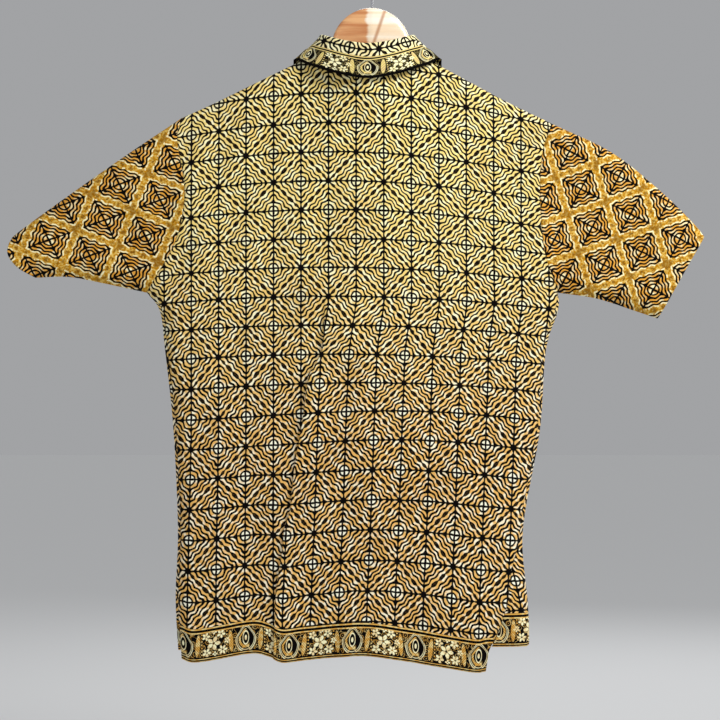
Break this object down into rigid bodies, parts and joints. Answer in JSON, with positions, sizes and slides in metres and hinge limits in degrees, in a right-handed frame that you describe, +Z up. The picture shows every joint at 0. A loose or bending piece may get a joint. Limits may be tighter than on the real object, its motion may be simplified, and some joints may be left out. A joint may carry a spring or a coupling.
{
  "type": "batik shirt on a wooden clothes hanger",
  "caption": "Short-sleeved collared batik shirt hanging flat from a light wooden hanger, seen from behind, with a printed border at its hem and collar.",
  "frame": {"origin": "inside of the hook's crest, where the hanger hangs from its rail", "axes": "+Z up; the shirt's back faces -Y and its buttoned front faces +Y; +X to the right seen from behind"},
  "size_m": [0.9218, 0.074, 0.9392],
  "materials": {
    "batik_body": "crisp printed cotton",
    "batik_sleeves": "crisp printed cotton, gold ground",
    "batik_collar": "crisp printed cotton with a border",
    "buttons": "brown, polished",
    "wood": "clear gloss lacquer",
    "steel": "plated wire"
  },
  "bodies": {
    "root": {"back_panel": "batik_body", "front_left": "batik_body", "front_right": "batik_body", "sleeve_left": "batik_sleeves", "sleeve_right": "batik_sleeves", "collar": "batik_collar", "button_1": "buttons", "button_2": "buttons", "button_3": "buttons", "button_4": "buttons", "button_5": "buttons", "button_6": "buttons", "hanger_wood": "wood", "hanger_hook": "steel"}
  },
  "joints": []
}
